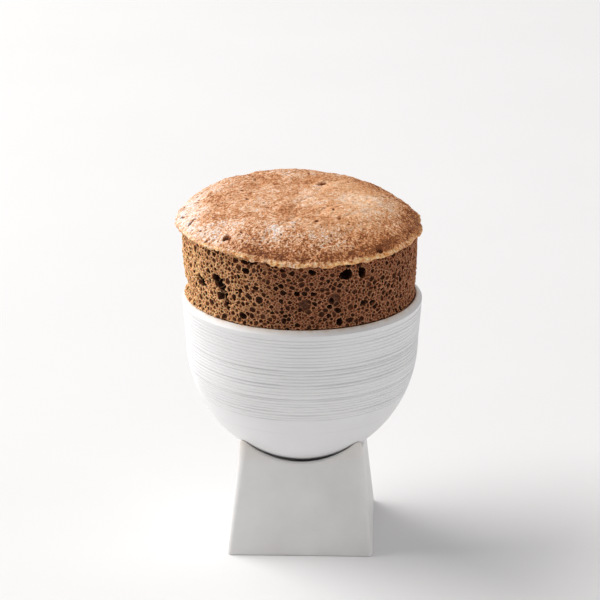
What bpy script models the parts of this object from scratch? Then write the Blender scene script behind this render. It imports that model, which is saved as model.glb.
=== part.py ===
"""Chocolate souffle, risen out of its white bowl, which sits in a square pedestal.

Metres, +Z up. The origin is the centre of the pedestal's underside, and the
pedestal's flat sides face along X and Y. The front is at -Y.
"""
import math

import bmesh
import bpy
from mathutils import Matrix, Vector

MM = 0.001
GAP = 0.3 * MM                # left between pieces that touch in the real object
TINY = 0.01 * MM              # points closer together than this count as one
STEPS = 64                    # sides of every turned shape

# Pedestal: a truncated square pyramid with a hollowed top
BASE_SIDE = 53.8 * MM
TOP_SIDE = 44.2 * MM
PEDESTAL_HEIGHT = 43.7 * MM   # to the four tips that hold the bowl
PEDESTAL_EDGE = 1.6 * MM      # rounding of the four upright edges
PEDESTAL_FOOT = 0.4 * MM      # rounding of the edge that meets the table
PEDESTAL_EDGE_STEPS = 4
HOLLOW_RADIUS = 36.0 * MM     # of its ball-shaped middle
HOLLOW_CENTRE_Z = 64.1 * MM
HOLLOW_CLEARANCE = 0.5 * MM   # upright gap under the bowl at the tips
HOLLOW_REACH = 34.0 * MM      # outer radius of the cut, past the block's corners
HOLLOW_STEPS = 14

# Bowl: a half ellipsoid under a slightly flared wall
BOWL_BOTTOM_Z = 30.6 * MM
BOWL_DEPTH = 46.5 * MM        # of the half ellipsoid
BOWL_WAIST_RADIUS = 42.8 * MM  # where the ellipsoid meets the wall
BOWL_INSIDE_STEPS = 10        # of the inner ellipse's quarter
BOWL_OUTSIDE_STEPS = 13       # of the outer ellipse's quarter
WALL_SWELL = 0.2 * MM         # how far the wall's middle stands out from a straight line
RIM_RADIUS = 44.0 * MM
RIM_TOP_Z = 94.1 * MM
RIM_WIDTH = 2.4 * MM
RIM_SLOPE = 1.5 * MM          # how much lower the rim's outer edge is than its inner edge
RIM_ROUNDING = 0.35 * MM
WALL = 2.6 * MM
FLOOR_THICKNESS = 3.2 * MM

# Souffle: fills the bowl, stands up from the rim and ends in a thin overhanging crust
RISEN_CENTRE_X = -0.8 * MM
SHOULDER_RADIUS = 43.1 * MM   # right under the crust
# The risen side from the crust down to the rim: share of its height and radius
SIDE = ((1.0, SHOULDER_RADIUS), (0.75, 43.0 * MM), (0.45, 42.6 * MM), (0.20, 42.0 * MM),
        (0.08, 41.4 * MM), (0.0, 41.9 * MM))
BRIM_RADIUS = 45.0 * MM
BRIM_THICKNESS = 1.0 * MM
BRIM_UPPER_EDGE = 0.4 * MM    # how far the dome ends inside the brim's outermost line
BRIM_LOWER_EDGE = 0.3 * MM    # and the underside starts inside it
BRIM_Z = 121.2 * MM           # mean height of the brim's lower edge
BRIM_LEAN = (-2.2 * MM, 1.7 * MM)    # rise of the brim at +X and at +Y
BRIM_SADDLE = (-0.8 * MM, -1.5 * MM)  # second harmonic, cosine and sine part
BRIM_RIPPLE = 1.2 * MM        # third harmonic
# Local swells of the brim: angle and width in degrees, rise
BRIM_SWELLS = ((42.0, 40.0, 2.6 * MM), (-177.0, 22.0, -1.6 * MM), (-121.0, 16.0, 1.3 * MM),
               (-58.0, 22.0, -1.4 * MM), (115.0, 18.0, -0.5 * MM), (-4.0, 16.0, -1.2 * MM))
DOME_RISE = 8.6 * MM
DOME_POWER = 3.6
DOME_STEPS = 9


def clear_scene():
    for thing in list(bpy.data.objects):
        bpy.data.objects.remove(thing, do_unlink=True)


def new_collection(name):
    group = bpy.data.collections.new(name)
    bpy.context.scene.collection.children.link(group)
    return group


def new_material(name, colour, roughness):
    material = bpy.data.materials.new(name)
    material.use_nodes = True
    shader = material.node_tree.nodes["Principled BSDF"]
    shader.inputs["Base Color"].default_value = (*colour, 1.0)
    shader.inputs["Roughness"].default_value = roughness
    shader.inputs["Metallic"].default_value = 0.0
    return material


def new_object(name, mesh, group, material=None):
    thing = bpy.data.objects.new(name, mesh)
    group.objects.link(thing)
    if material:
        mesh.materials.append(material)
    return thing


def smooth(mesh, degrees=35.0):
    mesh.shade_smooth()
    mesh.set_sharp_from_angle(angle=math.radians(degrees))


def as_cutter(thing):
    thing.hide_render = True
    thing.display_type = "WIRE"


def turned(name, profile, group, material=None):
    """A solid of revolution: profile is (radius, z) pairs, down the outer side."""
    mesh = bpy.data.meshes.new(name)
    edges = [(i, i + 1) for i in range(len(profile) - 1)]
    mesh.from_pydata([(radius, 0.0, z) for radius, z in profile], edges, [])
    thing = new_object(name, mesh, group, material)
    screw = thing.modifiers.new("turn", "SCREW")
    screw.axis = "Z"
    screw.angle = 2.0 * math.pi
    screw.steps = screw.render_steps = STEPS
    screw.use_merge_vertices = True
    screw.merge_threshold = TINY
    screw.use_smooth_shade = True
    return thing


def arc(centre, radii, start, end, count):
    """Points on an ellipse about centre, angles in degrees from +r towards +z."""
    points = []
    for i in range(count + 1):
        angle = math.radians(start + (end - start) * i / count)
        points.append((centre[0] + radii[0] * math.cos(angle),
                       centre[1] + radii[1] * math.sin(angle)))
    return points


def bowl_inside():
    """The bowl's inner outline from its middle up to the rim."""
    waist_z = BOWL_BOTTOM_Z + BOWL_DEPTH
    radius = BOWL_WAIST_RADIUS - WALL
    depth = BOWL_DEPTH - FLOOR_THICKNESS
    curve = arc((0.0, waist_z), (radius, depth), -90.0, 0.0, BOWL_INSIDE_STEPS)
    curve[0] = (0.0, curve[0][1])
    return curve + [(RIM_RADIUS - RIM_WIDTH, RIM_TOP_Z - RIM_ROUNDING)]


def bowl_outside():
    """The bowl's outer outline from the rim down to its middle."""
    waist_z = BOWL_BOTTOM_Z + BOWL_DEPTH
    curve = arc((0.0, waist_z), (BOWL_WAIST_RADIUS, BOWL_DEPTH), 0.0, -90.0, BOWL_OUTSIDE_STEPS)
    curve[-1] = (0.0, BOWL_BOTTOM_Z)
    wall_top_z = RIM_TOP_Z - RIM_SLOPE - RIM_ROUNDING
    middle = ((RIM_RADIUS + BOWL_WAIST_RADIUS) / 2 + WALL_SWELL, (wall_top_z + waist_z) / 2)
    return [(RIM_RADIUS, wall_top_z), middle] + curve


def bowl_rim():
    """The rim's sloping band, with both of its edges softened."""
    inner = (RIM_RADIUS - RIM_WIDTH + RIM_ROUNDING, RIM_TOP_Z)
    outer = (RIM_RADIUS - RIM_ROUNDING, RIM_TOP_Z - RIM_SLOPE)
    return [inner, outer]


def make_bowl(group, material):
    profile = bowl_inside() + bowl_rim() + bowl_outside()
    return turned("bowl", profile, group, material)


def swell(angle, middle, width):
    """1 at an angle in degrees, falling smoothly to 0 over a width on either side."""
    apart = math.remainder(angle - math.radians(middle), 2.0 * math.pi)
    return math.exp(-(apart / math.radians(width)) ** 2)


def brim_height(angle):
    """Height of the brim's lower edge: leaning, sagging and slightly wavy."""
    return (BRIM_Z
            + BRIM_LEAN[0] * math.cos(angle) + BRIM_LEAN[1] * math.sin(angle)
            + BRIM_SADDLE[0] * math.cos(2 * angle) + BRIM_SADDLE[1] * math.sin(2 * angle)
            - BRIM_RIPPLE * math.sin(3 * angle)
            + sum(rise * swell(angle, middle, width) for middle, width, rise in BRIM_SWELLS))


def souffle_profile():
    """Crust, brim, risen side, and the part in the bowl, down the outer side.

    Above the rim the heights are measured as if the brim were level at BRIM_Z.
    """
    top_z = BRIM_Z + BRIM_THICKNESS
    dome_radius = BRIM_RADIUS - BRIM_UPPER_EDGE
    crust = [(0.0, top_z + DOME_RISE)]
    for i in range(1, DOME_STEPS + 1):
        part = math.sin(0.5 * math.pi * i / DOME_STEPS)
        crust.append((dome_radius * part, top_z + DOME_RISE * (1.0 - part ** DOME_POWER)))
    brim = [(BRIM_RADIUS, BRIM_Z + 0.5 * BRIM_THICKNESS), (BRIM_RADIUS - BRIM_LOWER_EDGE, BRIM_Z)]
    foot_z = RIM_TOP_Z + GAP
    side = [(radius, foot_z + share * (BRIM_Z - foot_z)) for share, radius in SIDE]
    inside = [(radius - GAP, z + 0.5 * GAP) for radius, z in reversed(bowl_inside())]
    inside[-1] = (0.0, BOWL_BOTTOM_Z + FLOOR_THICKNESS + GAP)
    return crust + brim + side + inside


def lean_over(mesh):
    """Shift the risen part off centre and bring its brim to its uneven height."""
    foot_z = RIM_TOP_Z + GAP
    for vertex in mesh.vertices:
        if vertex.co.z < foot_z - TINY:
            continue
        angle = math.atan2(vertex.co.y, vertex.co.x)
        radius = math.hypot(vertex.co.x, vertex.co.y)
        share = min(1.0, (vertex.co.z - foot_z) / (BRIM_Z - foot_z))
        spread = min(1.0, radius / SHOULDER_RADIUS) ** 2 if share == 1.0 else 1.0
        vertex.co.z += share * spread * (brim_height(angle) - BRIM_Z)
        vertex.co.x += RISEN_CENTRE_X


def make_souffle(group, material):
    pattern = turned("souffle_pattern", souffle_profile(), group)
    evaluated = pattern.evaluated_get(bpy.context.evaluated_depsgraph_get())
    mesh = bpy.data.meshes.new_from_object(evaluated)
    bpy.data.objects.remove(pattern, do_unlink=True)
    lean_over(mesh)
    mesh.name = "souffle"
    smooth(mesh)
    return new_object("souffle", mesh, group, material)


def tapered_block(name, base, top, height, group, material):
    """A square block, tapered towards its top, standing on z = 0."""
    mesh = bpy.data.meshes.new(name)
    shape = bmesh.new()
    bmesh.ops.create_cube(shape, size=1.0, matrix=Matrix.Translation((0.0, 0.0, 0.5)))
    for vertex in shape.verts:
        side = top if vertex.co.z > 0.5 else base
        vertex.co = Vector((vertex.co.x * side, vertex.co.y * side, vertex.co.z * height))
    weight = shape.edges.layers.float.new("bevel_weight_edge")
    for edge in shape.edges:
        low = min(vertex.co.z for vertex in edge.verts)
        high = max(vertex.co.z for vertex in edge.verts)
        if low < high:
            edge[weight] = 1.0
        elif high == 0.0:
            edge[weight] = PEDESTAL_FOOT / PEDESTAL_EDGE
    shape.to_mesh(mesh)
    shape.free()
    return new_object(name, mesh, group, material)


def hollow_profile():
    """The cutter for the pedestal's top: a ball's underside that passes into the bowl's shape."""
    waist_z = BOWL_BOTTOM_Z + BOWL_DEPTH
    underside = []
    for i in range(HOLLOW_STEPS + 1):
        radius = HOLLOW_REACH * (1.0 - i / HOLLOW_STEPS)
        ball = HOLLOW_CENTRE_Z - math.sqrt(HOLLOW_RADIUS ** 2 - radius ** 2)
        bowl = waist_z - BOWL_DEPTH * math.sqrt(1.0 - (radius / BOWL_WAIST_RADIUS) ** 2)
        underside.append((radius, min(ball, bowl - HOLLOW_CLEARANCE)))
    return [(0.0, HOLLOW_CENTRE_Z), (HOLLOW_REACH, HOLLOW_CENTRE_Z)] + underside


def make_pedestal(group, cutters, material):
    block = tapered_block("pedestal", BASE_SIDE, TOP_SIDE, PEDESTAL_HEIGHT, group, material)
    bevel = block.modifiers.new("edges", "BEVEL")
    bevel.limit_method = "WEIGHT"
    bevel.width = PEDESTAL_EDGE
    bevel.segments = PEDESTAL_EDGE_STEPS
    hollow = turned("pedestal_hollow", hollow_profile(), cutters)
    as_cutter(hollow)
    cut = block.modifiers.new("hollow", "BOOLEAN")
    cut.operation = "DIFFERENCE"
    cut.solver = "EXACT"
    cut.object = hollow
    smooth(block.data)
    return block


def main():
    clear_scene()
    parts = new_collection("chocolate_souffle")
    cutters = new_collection("cutters")
    porcelain = new_material("porcelain", (0.80, 0.80, 0.79), 0.45)
    biscuit = new_material("pedestal_porcelain", (0.74, 0.73, 0.72), 0.50)
    sponge = new_material("chocolate_sponge", (0.25, 0.11, 0.055), 0.90)
    make_pedestal(parts, cutters, biscuit)
    make_bowl(parts, porcelain)
    make_souffle(parts, sponge)


main()
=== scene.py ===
"""The looks of a chocolate souffle in its bowl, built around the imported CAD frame.

Blender's units are metres, +Z up. The modelling here is done in millimetres, in numpy, and
scaled to metres when a mesh is made. Angles run anticlockwise from +X, seen from above, so
the front of the object, at -Y, is at -90 degrees.
"""
import math

import bmesh
import bpy
import numpy as np
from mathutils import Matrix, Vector


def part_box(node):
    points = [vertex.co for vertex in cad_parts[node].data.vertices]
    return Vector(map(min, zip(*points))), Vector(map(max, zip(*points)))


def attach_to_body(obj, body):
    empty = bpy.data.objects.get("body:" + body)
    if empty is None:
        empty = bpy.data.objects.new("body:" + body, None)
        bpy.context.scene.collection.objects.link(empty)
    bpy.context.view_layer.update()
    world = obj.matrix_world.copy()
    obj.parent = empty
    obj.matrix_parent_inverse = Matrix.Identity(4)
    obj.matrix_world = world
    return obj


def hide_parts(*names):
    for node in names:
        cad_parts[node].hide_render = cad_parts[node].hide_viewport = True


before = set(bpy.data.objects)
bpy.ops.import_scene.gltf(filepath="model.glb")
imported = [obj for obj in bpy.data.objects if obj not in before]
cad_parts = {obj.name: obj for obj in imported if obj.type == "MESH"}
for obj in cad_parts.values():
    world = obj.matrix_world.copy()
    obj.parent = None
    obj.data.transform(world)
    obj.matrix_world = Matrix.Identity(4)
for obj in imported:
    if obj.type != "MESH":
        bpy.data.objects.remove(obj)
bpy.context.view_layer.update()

MM = 0.001
TURN = 2.0 * math.pi


def box_mm(node):
    """A CAD node's lowest and highest corner, in millimetres."""
    return [np.array(corner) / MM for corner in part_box(node)]


# Sizes read from the CAD frame, in millimetres
BOWL_LOW, BOWL_HIGH = box_mm("bowl")
SOUFFLE_LOW, SOUFFLE_HIGH = box_mm("souffle")
PEDESTAL_HEIGHT = box_mm("pedestal")[1][2]
RIM_RADIUS = BOWL_HIGH[0]
RIM_TOP_Z = BOWL_HIGH[2]
BOWL_BOTTOM_Z = BOWL_LOW[2]
BRIM_RADIUS = 0.5 * (SOUFFLE_HIGH[0] - SOUFFLE_LOW[0])
BRIM_CENTRE_X = 0.5 * (SOUFFLE_HIGH[0] + SOUFFLE_LOW[0])

# Bowl
RIM_WIDTH = 2.4
RIM_SLOPE = 1.5
BOWL_WAIST_Z = 77.1
BOWL_DEPTH = BOWL_WAIST_Z - BOWL_BOTTOM_Z
BOWL_WAIST_RADIUS = 42.8
WALL = 2.6
FLOOR_THICKNESS = 3.2
BOWL_SIDES = 200

# Souffle
BRIM_Z = 121.2  # mean height of the crust's lower edge
BRIM_LEAN = (-2.2, 1.7)  # rise at +X and at +Y
BRIM_SADDLE = (-0.8, -1.5)
BRIM_RIPPLE = 1.2
# Local swells of the brim: angle, width and rise
BRIM_SWELLS = ((42.0, 40.0, 2.6), (-177.0, 22.0, -1.6), (-121.0, 16.0, 1.3), (-58.0, 22.0, -1.4),
               (115.0, 18.0, -0.5), (-4.0, 16.0, -1.2))
BRIM_BULGES = ((46.0, 32.0, 1.1), (-6.0, 20.0, -1.3))  # angle, width and how far out
CRUST_THICKNESS = 0.85
DOME_RISE = 8.6
DOME_POWER = 3.6
BODY_CENTRE_X = -0.7
# Share of the height between foot and crust, and radius
BODY_PROFILE = ((0.0, 42.0), (0.08, 41.5), (0.2, 42.0), (0.45, 42.6), (0.75, 43.0), (1.0, 43.1))
FOOT_Z = RIM_TOP_Z + 0.1
BODY_OVERLAP = 0.3  # how far the crumb reaches up into the crust
# Swells of the side at the left: amount, height above the rim and width
LEFT_SWELLS = ((0.9, 0.0, 1.6), (-0.7, 4.0, 2.2))
LEFT_WIDTH = 0.55  # radians

# Crumb grid: along the wall, up the wall and into the wall
CRUMB_CELL = 0.275
CRUMB_RADIUS = 43.0
CRUMB_LENGTH = TURN * CRUMB_RADIUS
CRUMB_HEIGHT = 27.0  # nominal height of the wall above the rim
CRUMB_LOW = -2.2
CRUMB_DEPTH = (-0.75, 5.0)
CRUMB_SECTORS = 4
SKIN_BELOW_RIM = 41.25  # radius that still passes through the bowl's mouth

NOISE_CELLS = 64
CRUMB_SEED = 5
PORE_SEED = 8
GROOVE_SEED = 17

# Unevenness, as layers of noise: amplitude, size of its features and seed
SIDE_NOISE = ((0.35, 14.0, 11), (0.2, 5.0, 12))
SKIN_NOISE = ((0.22, 2.4, 21), (0.20, 1.0, 22))
BRIM_NOISE = ((0.45, 7.0, 31),)
RAGGED_NOISE = ((0.34, 2.6, 32), (0.42, 0.9, 33))
CRUST_NOISE = ((0.6, 15.0, 41), (0.34, 5.5, 42))
DROOP_NOISE = ((0.3, 6.0, 51), (0.3, 1.6, 54))


def noise(points, size, seed):
    """Smooth random values, about -1 to 1, with features of the given size."""
    table = np.random.default_rng(seed).random((NOISE_CELLS,) * 3) * 2.0 - 1.0
    where = points / size
    cell = np.floor(where).astype(np.int64)
    part = where - cell
    part = part * part * (3.0 - 2.0 * part)
    value = np.zeros(points.shape[:-1])
    for corner in np.ndindex(2, 2, 2):
        index = (cell + corner) % NOISE_CELLS
        weight = np.prod(np.where(corner, part, 1.0 - part), axis=-1)
        value += weight * table[index[..., 0], index[..., 1], index[..., 2]]
    return value


def layered(points, layers):
    """A sum of noises, each with its amplitude, size and seed."""
    return sum(amplitude * noise(points, size, seed) for amplitude, size, seed in layers)


def smoothstep(low, high, value):
    """0 at low, 1 at high, with a smooth passage between them."""
    part = np.clip((value - low) / (high - low), 0.0, 1.0)
    return part * part * (3.0 - 2.0 * part)


def around(radius, angle, height, centre_x=0.0):
    """Points at a radius and angle about a vertical axis."""
    radius, angle, height, centre_x = np.broadcast_arrays(radius, angle, height, centre_x)
    return np.stack([centre_x + radius * np.cos(angle), radius * np.sin(angle), height], axis=-1)


def make_mesh(name, points, faces, layers=None):
    """A smooth-shaded object from points in millimetres, with a float attribute per layer."""
    mesh = bpy.data.meshes.new(name)
    faces = np.asarray(faces, np.int32)
    mesh.vertices.add(len(points))
    mesh.vertices.foreach_set("co", (np.asarray(points, float) * MM).astype(np.float32).ravel())
    mesh.loops.add(faces.size)
    mesh.loops.foreach_set("vertex_index", faces.ravel())
    mesh.polygons.add(len(faces))
    mesh.polygons.foreach_set("loop_start", np.arange(len(faces), dtype=np.int32) * faces.shape[1])
    for layer, values in (layers or {}).items():
        attribute = mesh.attributes.new(layer, "FLOAT", "POINT")
        attribute.data.foreach_set("value", np.asarray(values, np.float32))
    mesh.update(calc_edges=True)
    mesh.validate()
    mesh.shade_smooth()
    thing = bpy.data.objects.new(name, mesh)
    bpy.context.scene.collection.objects.link(thing)
    return thing


def add_fan(thing, loop, middle):
    """Closes a hole with triangles from its edge to one point."""
    shape = bmesh.new()
    shape.from_mesh(thing.data)
    shape.verts.ensure_lookup_table()
    for a, b in zip(loop, np.roll(loop, -1)):
        face = shape.faces.new((shape.verts[a], shape.verts[b], shape.verts[middle]))
        face.smooth = True
    shape.to_mesh(thing.data)
    shape.free()


def ring_quads(rings, sides):
    """Quads between successive rings of the same number of points, facing outward when
    the rings run down an outer side."""
    first = np.arange(rings - 1)[:, None] * sides
    here = np.arange(sides)[None, :]
    after = (here + 1) % sides
    quads = np.stack([first + here, first + sides + here, first + sides + after,
                      first + after], axis=-1)
    return quads.reshape(-1, 4)


# ---- crumb

def bell(angle, middle, width):
    """1 at an angle in degrees, falling smoothly to 0 over a width on either side."""
    apart = np.mod(angle - math.radians(middle) + math.pi, TURN) - math.pi
    return np.exp(-(apart / math.radians(width)) ** 2)


def brim_height(angle):
    """Height of the crust's lower edge: leaning, sagging and slightly wavy."""
    return (BRIM_Z + BRIM_LEAN[0] * np.cos(angle) + BRIM_LEAN[1] * np.sin(angle)
            + BRIM_SADDLE[0] * np.cos(2 * angle) + BRIM_SADDLE[1] * np.sin(2 * angle)
            - BRIM_RIPPLE * np.sin(3 * angle)
            + sum(rise * bell(angle, middle, width) for middle, width, rise in BRIM_SWELLS))


def wall_rise(angle):
    """How far the crumb's wall stands up from its foot."""
    return brim_height(angle) + BODY_OVERLAP - FOOT_Z


def wall_point(angle, up, depth):
    """Where a point of the crumb lies: up and depth in millimetres, up at nominal height."""
    share = up / CRUMB_HEIGHT
    height = FOOT_Z + np.where(up > 0.0, share * wall_rise(angle), up)
    heights, radii = zip(*BODY_PROFILE)
    radius = np.interp(share, heights, radii)
    left = np.exp(-((np.mod(angle, TURN) - math.pi) / LEFT_WIDTH) ** 2)
    radius = radius + left * sum(amount * np.exp(-((up - middle) / width) ** 2)
                                 for amount, middle, width in LEFT_SWELLS)
    radius = radius + layered(around(CRUMB_RADIUS, angle, height), SIDE_NOISE)
    mouth = smoothstep(0.5, -0.1, height - RIM_TOP_Z)
    centre_x = BODY_CENTRE_X * (1.0 - mouth)
    radius = radius * (1.0 - mouth) + np.minimum(radius, SKIN_BELOW_RIM) * mouth
    return around(radius - depth, angle, height, centre_x)


# Bubbles that are large enough to be told apart: angle in degrees, height above the table,
# half width, half height and depth, in millimetres
CAVITIES = (
    (-65.6, 114.3, 2.3, 2.3, 4.2), (-67.5, 114.0, 1.5, 1.6, 3.2), (-57.5, 114.0, 1.7, 2.3, 3.6),
    (-145.2, 106.0, 2.3, 1.9, 3.6), (-147.5, 107.4, 1.6, 1.2, 2.4),
    (-132.0, 108.6, 2.2, 2.4, 4.0), (-134.6, 109.6, 1.7, 1.4, 3.0), (-130.2, 106.6, 1.5, 1.5, 3.4),
    (-110.3, 109.1, 0.95, 0.95, 1.8), (-118.6, 107.0, 0.95, 1.0, 2.0),
    (-86.5, 103.8, 2.2, 2.5, 1.3), (-71.9, 105.4, 2.7, 2.3, 1.2),
    (-115.8, 118.4, 1.5, 0.9, 2.6), (-112.6, 118.2, 1.1, 0.8, 2.0), (-97.0, 116.6, 1.2, 0.8, 1.8),
    (-35.0, 109.0, 1.0, 1.5, 2.0), (-30.0, 103.5, 1.0, 1.3, 1.8), (20.0, 108.0, 2.0, 1.5, 3.0),
    (75.0, 112.0, 1.8, 2.2, 3.2), (110.0, 104.0, 2.1, 1.6, 2.4), (150.0, 109.0, 1.5, 1.9, 2.6),
)
SHALLOW = 1.55  # shallower ones keep small bubbles on their floors
CAVITY_SINK = 0.25  # depth of an ellipsoid's centre, as a share of its reach
CAVITY_CLEARANCE = -0.1  # between a cavity and the bubbles about it
# Lobes round a deep cavity: how many, how far from its middle, their sizes and depths as shares
LOBES = 6
LOBE_SPREAD = 0.75
LOBE_SIZE = (0.3, 0.55)
LOBE_DEPTH = (0.1, 0.5)
# The torn crack: a chain of narrow cavities from its top to its bottom
CRACK_TOP = (-129.2, 107.4)
CRACK_BOTTOM = (-126.8, 99.4)
CRACK_LINKS = 9
CRACK_WANDER = 0.7  # degrees to either side
CRACK_HALF = (0.9, 1.25)  # half width and height of its cavities
CRACK_DEPTH = 3.4
# Packed bubbles, the large ones first: smallest and largest opening radius, tries
BUBBLE_SIZES = ((0.95, 1.25, 60), (0.70, 0.94, 750), (0.46, 0.68, 3600), (0.31, 0.45, 14000),
                (0.20, 0.3, 26000))
BUBBLE_SPACING = 0.02
BUBBLE_SINK = (-0.1, 0.4)  # depth of a bubble's centre, as a share of its radius
BUBBLE_STRETCH = (0.85, 1.18)
BUBBLE_FLATTENING = (0.7, 1.05)
BUCKET = 2.2  # width of the squares in which neighbours are looked up
FILM = 0.22  # wall left between neighbouring bubbles
WARP = 0.30  # how far bubbles are pushed out of round
WARP_SIZE = 1.5
WARP_SEEDS = (23, 24, 25)
SMALLEST_ISLAND = 500  # points; smaller closed pockets and loose bits are left out
OPENING_SPREAD = 1.46  # bubbles swell until only a film is left between them


CELL_CORNERS = np.array(list(np.ndindex(2, 2, 2)))
GRID_STEPS = np.eye(3, dtype=int)


def cavity_list(rng):
    """The told-apart cavities and the crack, as (u, v, half width, half height, depth)."""
    cavities = [list(cavity) for cavity in CAVITIES]
    for i in range(CRACK_LINKS):
        share = i / (CRACK_LINKS - 1)
        angle = CRACK_TOP[0] + share * (CRACK_BOTTOM[0] - CRACK_TOP[0])
        angle += rng.uniform(-CRACK_WANDER, CRACK_WANDER)
        height = CRACK_TOP[1] + share * (CRACK_BOTTOM[1] - CRACK_TOP[1])
        cavities.append([angle, height, rng.uniform(*CRACK_HALF), rng.uniform(*CRACK_HALF), CRACK_DEPTH])
    rows = []
    for angle, height, wide, high, deep in cavities:
        radians = math.radians(angle)
        v = (height - FOOT_Z) / float(wall_rise(np.array(radians))) * CRUMB_HEIGHT
        rows.append((radians % TURN * CRUMB_RADIUS, v, wide, high, deep))
    return rows


def pack_bubbles(rng, cavities):
    """Openings scattered over the wall without meeting, as (u, v, radius)."""
    columns = int(CRUMB_LENGTH / BUCKET)
    cell = CRUMB_LENGTH / columns
    taken = {}

    def claim(u, v, radius):
        spread = radius + BUBBLE_SIZES[0][1] + BUBBLE_SPACING
        for column in range(math.floor((u - spread) / cell), math.floor((u + spread) / cell) + 1):
            for row in range(math.floor((v - spread) / cell), math.floor((v + spread) / cell) + 1):
                taken.setdefault((column % columns, row), []).append((u, v, radius))

    for u, v, wide, high, deep in cavities:
        if deep > SHALLOW:
            claim(u, v, 0.5 * (wide + high) + CAVITY_CLEARANCE)
    bubbles = []
    top = CRUMB_HEIGHT + 0.5
    for smallest, largest, tries in BUBBLE_SIZES:
        for _ in range(tries):
            u, v = rng.uniform(0.0, CRUMB_LENGTH), rng.uniform(CRUMB_LOW, top)
            radius = rng.uniform(smallest, largest)
            for other_u, other_v, other in taken.get((int(u / cell) % columns, math.floor(v / cell)), ()):
                across = abs(u - other_u)
                across = min(across, CRUMB_LENGTH - across)
                if math.hypot(across, v - other_v) < radius + other + BUBBLE_SPACING:
                    break
            else:
                claim(u, v, radius)
                bubbles.append((u, v, radius))
    return bubbles


def carve(layers, warp, origin, centre, half):
    """Opens a warped ellipsoid of air; the first axis runs round the wall.

    layers holds, at each grid point, how deep it lies in the bubble it is deepest in and,
    when there are two, in the next one.
    """
    nearest = layers[0]
    centre = (np.array(centre) - origin) / CRUMB_CELL
    half = np.array(half) / CRUMB_CELL
    margin = 1.2 + WARP / CRUMB_CELL
    low = np.floor(centre - half - margin).astype(int)
    high = np.ceil(centre + half + margin).astype(int) + 1
    low[1:] = np.maximum(low[1:], 0)
    high[1:] = np.minimum(high[1:], nearest.shape[1:])
    if np.any(high <= low):
        return
    axes = [np.arange(low[i], high[i]) for i in range(3)]
    window = np.ix_(axes[0] % nearest.shape[0], axes[1], axes[2])
    places = np.meshgrid(*axes, indexing="ij", sparse=True)
    away = sum(((places[i] + warp[i][window] - centre[i]) / half[i]) ** 2 for i in range(3))
    bubble = (1.0 - np.sqrt(away)) * half.min() * CRUMB_CELL
    before = nearest[window]
    if len(layers) > 1:
        layers[1][window] = np.maximum(layers[1][window], np.minimum(before, bubble))
    nearest[window] = np.maximum(before, bubble)


def carve_foam(rng, shape, warp, origin, cavities):
    """Packed bubbles, with a film left where two of them would meet."""
    layers = [np.full(shape, -CRUMB_DEPTH[1], np.float32) for _ in range(2)]
    for u, v, radius in pack_bubbles(rng, cavities):
        sink = rng.uniform(*BUBBLE_SINK)
        ball = OPENING_SPREAD * radius / math.sqrt(1.0 - sink * sink)
        stretch = rng.uniform(*BUBBLE_STRETCH)
        half = (ball * stretch, ball / stretch, ball * rng.uniform(*BUBBLE_FLATTENING))
        carve(layers, warp, origin, (u, v, sink * ball), half)
    return np.minimum(layers[0], 0.5 * (layers[0] - layers[1] - FILM))


def carve_cavities(rng, field, warp, origin, cavities):
    """The told-apart cavities; the deep ones have lobes."""
    for u, v, wide, high, deep in cavities:
        half = (wide, high, (1.0 - CAVITY_SINK) * deep)
        carve([field], warp, origin, (u, v, CAVITY_SINK * deep), half)
        for _ in range(LOBES if deep > SHALLOW else 0):
            turn = rng.uniform(0.0, TURN)
            side_u = u + LOBE_SPREAD * wide * math.cos(turn)
            side_v = v + LOBE_SPREAD * high * math.sin(turn)
            size = rng.uniform(*LOBE_SIZE) * min(wide, high)
            centre = (side_u, side_v, rng.uniform(*LOBE_DEPTH) * deep)
            carve([field], warp, origin, centre, (size, size, size))


def crumb_field(rng):
    """A grid of signed distances, positive in air, over the unrolled wall."""
    around_count = int(round(CRUMB_LENGTH / CRUMB_CELL))
    up = np.arange(CRUMB_LOW, CRUMB_HEIGHT + 1.0, CRUMB_CELL)
    depth = np.arange(CRUMB_DEPTH[0], CRUMB_DEPTH[1], CRUMB_CELL)
    angle = np.arange(around_count) * TURN / around_count
    spot = around(CRUMB_RADIUS, angle[:, None], up[None, :])
    skin = layered(spot, SKIN_NOISE)
    field = (skin[:, :, None] - depth[None, None, :]).astype(np.float32)
    origin = np.array([0.0, CRUMB_LOW, CRUMB_DEPTH[0]])
    spots = around(CRUMB_RADIUS - depth, angle[:, None, None], up[None, :, None])
    warp = [(WARP / CRUMB_CELL * noise(spots, WARP_SIZE, seed)).astype(np.float32)
            for seed in WARP_SEEDS]
    cavities = cavity_list(rng)
    field = np.maximum(field, carve_foam(rng, field.shape, warp, origin, cavities))
    carve_cavities(rng, field, warp, origin, cavities)
    return field, origin


def crossed_cells(air):
    """The grid cells with air at some of their corners only."""
    shape = np.array(air.shape) - 1
    count = np.zeros(shape, np.uint8)
    for x, y, z in CELL_CORNERS:
        count += air[x:x + shape[0], y:y + shape[1], z:z + shape[2]]
    return np.argwhere((count > 0) & (count < len(CELL_CORNERS)))


def cell_points(field, cells):
    """One point a cell: the mean of the places where the surface crosses its edges."""
    total = np.zeros((len(cells), 3))
    crossings = np.zeros(len(cells))
    for start in CELL_CORNERS:
        for step in GRID_STEPS[start == 0]:
            a = field[tuple((cells + start).T)]
            b = field[tuple((cells + start + step).T)]
            crossed = (a > 0.0) != (b > 0.0)
            share = np.where(crossed, a / np.where(crossed, a - b, 1.0), 0.0)
            total += crossed[:, None] * (start + share[:, None] * step)
            crossings += crossed
    return cells + total / crossings[:, None]


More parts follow.
